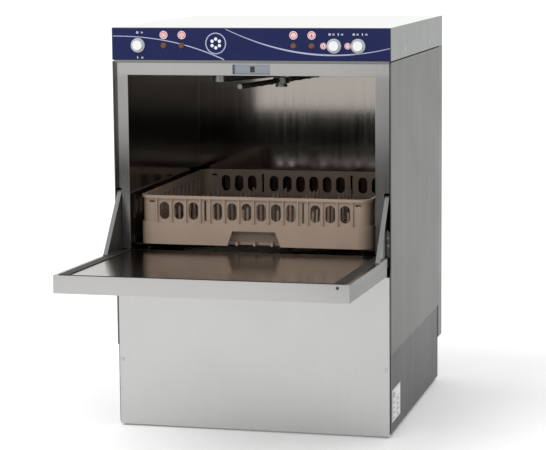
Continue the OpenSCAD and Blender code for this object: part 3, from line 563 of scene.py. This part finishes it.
def cross_screw(shape, at, facing, head=4.0, rise=1.2, shaft=0.0):
    """A pan-head screw whose head lies at a point in metres and faces a direction."""
    place = Matrix.Translation(at) @ Vector(facing).to_track_quat("Z", "Y").to_matrix().to_4x4()
    place = place @ Matrix.Scale(MM, 4)
    steps = 24
    profile = [(head, 0), (head, rise * 0.45), (head * 0.92, rise * 0.75), (head * 0.72, rise * 0.95),
               (head * 0.56, rise)]
    if shaft:
        profile = [(0, -shaft), (2.1, -shaft), (2.1, 0)] + profile
    else:
        profile = [(0, 0)] + profile
    rim = lathe(shape, profile, steps, place)[-1]
    arm, half, depth = head * 0.42, head * 0.1, rise * 0.6
    cross = [(arm, -half), (arm, half), (half, half), (half, arm), (-half, arm), (-half, half),
             (-arm, half), (-arm, -half), (-half, -half), (-half, -arm), (half, -arm), (half, -half)]
    edge = [shape.verts.new(place @ Vector((x, y, rise))) for x, y in cross]
    sunk = [shape.verts.new(place @ Vector((x * 0.8, y * 0.8, rise - depth))) for x, y in cross]
    for i in range(12):
        j = (i + 1) % 12
        shape.faces.new((edge[i], edge[j], sunk[j], sunk[i]))
        a, b, c = rim[(2 * i - 1) % steps], rim[2 * i % steps], rim[(2 * i + 1) % steps]
        shape.faces.new((a, b, edge[i]))
        shape.faces.new((b, c, edge[i]))
        shape.faces.new((c, edge[j], edge[i]))
    shape.faces.new(sunk)


def machine(x, y, z):
    """A point of the machine's own drawing, in millimetres from its front plane, in the row frame."""
    return Vector((x * MM, FRONT_Y + y * MM, z * MM))


def panel_screw_piece():
    """The screws of the front panel, the cap's sides and the rear cover, with crossed recesses."""
    rear_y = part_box("panel_screws")[1].y - 1.2 * MM

    def build(shape):
        for side in (-1, 1):
            cross_screw(shape, machine(side * 285, 0, 144), (0, -1, 0), shaft=7.9)
            for y in (148, 452):
                cross_screw(shape, machine(side * 296, y, 798), (side, 0, 0))
            for z in (190, 440, 700):
                at = machine(side * 282, 0, z)
                at.y = rear_y
                cross_screw(shape, at, (0, 1, 0))
    piece = add_piece("cross_screws", mesh_from("cross_screws", build), "cabinet", "fastener_steel",
                      smooth=False)
    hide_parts("panel_screws")


def tube(shape, path, radius, sides=6):
    """A round wire along a path of points, closed at both ends."""
    rings = []
    up = Vector((1, 0, 0))
    last = len(path) - 1
    for i, point in enumerate(path):
        along = (path[min(last, i + 1)] - path[max(0, i - 1)]).normalized()
        across = up - up.dot(along) * along
        if across.length < 1e-3:
            across = along.orthogonal()
        across.normalize()
        up = across
        other = along.cross(across)
        rings.append([shape.verts.new(point + radius * (math.cos(2 * math.pi * k / sides) * across
                                                        + math.sin(2 * math.pi * k / sides) * other))
                      for k in range(sides)])
    for first, second in zip(rings, rings[1:]):
        for k in range(sides):
            m = (k + 1) % sides
            shape.faces.new((first[k], first[m], second[m], second[k]))
    shape.faces.new(rings[0][::-1])
    shape.faces.new(rings[-1])


SPRING_X = 273 * MM


def spring_path(side):
    """From the hook at the bracket, up the coils, to the hook on the door arm."""
    low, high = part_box("door_springs")
    middle_x = side * SPRING_X
    middle_y = (low.y + high.y) / 2 - 0.6 * MM
    eye, coil, pitch = 5.0 * MM, 5.9 * MM, 3.1 * MM
    hook_reach, neck = 5.6 * MM, 6.5 * MM
    foot = low.z + hook_reach
    head = high.z - hook_reach
    start, end = foot + neck, head - neck
    turns = round((end - start) / pitch)
    per_turn = 14
    centre = Vector((middle_x, middle_y, 0))
    lower = [centre + Vector((0, eye * math.sin(a), foot - eye * math.cos(a)))
             for a in [math.radians(-140 + 20 * i) for i in range(15)]]
    coils = [centre + Vector((coil * math.sin(a), coil * math.cos(a),
                              start + (end - start) * a / (2 * math.pi * turns)))
             for a in [2 * math.pi * i / per_turn for i in range(turns * per_turn + 1)]]
    upper = [centre + Vector((0, eye * math.sin(a), head - eye * math.cos(a)))
             for a in [math.radians(40 + 20 * i) for i in range(15)]]
    return lower + coils + upper


def coil_springs():
    def build(shape):
        for side in (-1, 1):
            tube(shape, spring_path(side), 1.0 * MM)
    piece = add_piece("coil_springs", mesh_from("coil_springs", build), "cabinet", "spring_steel")
    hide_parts("door_springs")
    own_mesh(piece)


def label_print():
    """A frame, rows and columns on the label, with no lettering."""
    low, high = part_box("rating_label")
    face = high.x

    def bar(shape, y0, y1, z0, z1):
        corners = [shape.verts.new((x, low.y + y * MM, low.z + z * MM))
                   for x in (face - 0.05 * MM, face + 0.1 * MM) for y, z in
                   ((y0, z0), (y1, z0), (y1, z1), (y0, z1))]
        for quad in ((0, 1, 2, 3), (7, 6, 5, 4), (0, 4, 5, 1), (1, 5, 6, 2), (2, 6, 7, 3), (3, 7, 4, 0)):
            shape.faces.new([corners[i] for i in quad])

    def build(shape):
        for z in (2, 13, 24, 35, 46, 65):
            bar(shape, 3, 87, z, z + 0.8)
        for y in (2.2, 44, 87):
            bar(shape, y, y + 0.8, 2.8, 65)
        for row in range(4):
            for start in (7, 49):
                bar(shape, start, start + 18 + 4 * ((row + start) % 3), 5.5 + 11 * row, 9 + 11 * row)
        bar(shape, 7, 30, 50, 61)
    add_piece("label_rows", mesh_from("label_rows", build), "cabinet", "label_white", "label_grey",
              smooth=False)


def cap_side_holes():
    """Two rows of tiny pierced holes at the front end of each side of the cap, drawn as flush black
    discs: painted shade for the dark inside of each hole.
    """
    low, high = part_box("top_cap")

    def build(shape):
        for side, face in ((-1, low.x), (1, high.x)):
            for z in (789, 793, 829, 833):
                place = Matrix.Translation((face - side * 0.6 * MM, machine(0, 19, 0).y, z * MM))
                place = place @ Vector((side, 0, 0)).to_track_quat("Z", "Y").to_matrix().to_4x4()
                lathe(shape, [(0, 0), (1.1, 0), (1.1, 0.66), (0, 0.66)], 14, place @ Matrix.Scale(MM, 4))
    add_piece("cap_side_holes", mesh_from("cap_side_holes", build), "cabinet", "black_plastic",
              smooth=False)


panel_screw_piece()
coil_springs()
label_print()
cap_side_holes()


# ---------- stage, light and camera ----------


def make_floor():
    size = 60.0
    mesh = mesh_from("floor", lambda shape: [
        shape.faces.new([shape.verts.new(p) for p in
                         ((-size, -size, 0), (size, -size, 0), (size, size, 0), (-size, size, 0))])])
    floor = bpy.data.objects.new("floor", mesh)
    bpy.context.scene.collection.objects.link(floor)
    mesh.materials.append(LOOKS["floor"])


def reflected_card(name, look, corners):
    """A dark or dim card that only reflections show, as the surroundings of a studio do."""
    mesh = mesh_from(name, lambda shape: [shape.faces.new([shape.verts.new(p) for p in corners])])
    card = bpy.data.objects.new(name, mesh)
    bpy.context.scene.collection.objects.link(card)
    mesh.materials.append(LOOKS[look])
    card.visible_camera = False
    card.visible_diffuse = False
    card.visible_shadow = False
    card.visible_transmission = False


def make_cards():
    """Upright cards in front of the machine, one black and low, one dim and further away."""
    def upright(x0, x1, y, z0, z1):
        return [(x0, y, z0), (x1, y, z0), (x1, y, z1), (x0, y, z1)]

    reflected_card("card_low", "black_card", upright(-1.2, 0.4, -0.56, 0.402, 0.55))
    reflected_card("card_front", "dim_card", upright(0.03, 1.0, -1.5, 0.28, 0.64))


def make_light():
    world = bpy.data.worlds.new("studio")
    bpy.context.scene.world = world
    world.use_nodes = True
    sky = world.node_tree.nodes["Background"]
    sky.inputs["Color"].default_value = (1.0, 1.0, 1.0, 1.0)
    sky.inputs["Strength"].default_value = 1.0
    sun = bpy.data.lights.new("key", "SUN")
    sun.energy = 1.2
    sun.angle = math.radians(40)
    lamp = bpy.data.objects.new("key", sun)
    lamp.rotation_euler = (math.radians(38), math.radians(-22), math.radians(-20))
    lamp.visible_glossy = False
    bpy.context.scene.collection.objects.link(lamp)


def make_camera():
    """At the photograph's angle: to the right of the machine's middle and above it."""
    place = Vector((1.0665, -4.1700, 1.0361))
    yaw, pitch, roll = 0.2469, 0.1417, -0.0092
    right = Vector((math.cos(yaw), math.sin(yaw), 0))
    level = Vector((-math.sin(yaw), math.cos(yaw), 0))
    up = Vector((0, 0, 1))
    ahead = math.cos(pitch) * level - math.sin(pitch) * up
    above = math.sin(pitch) * level + math.cos(pitch) * up
    x_axis = math.cos(roll) * right + math.sin(roll) * above
    y_axis = -math.sin(roll) * right + math.cos(roll) * above
    data = bpy.data.cameras.new("camera")
    data.sensor_width = 36.0
    data.lens = 134.2
    data.clip_end = 200.0
    camera = bpy.data.objects.new("camera", data)
    camera.matrix_world = Matrix((
        (x_axis.x, y_axis.x, -ahead.x, place.x),
        (x_axis.y, y_axis.y, -ahead.y, place.y),
        (x_axis.z, y_axis.z, -ahead.z, place.z),
        (0, 0, 0, 1)))
    bpy.context.scene.collection.objects.link(camera)
    bpy.context.scene.camera = camera


make_floor()
make_cards()
make_light()
make_camera()
bpy.context.scene.view_settings.view_transform = "Standard"
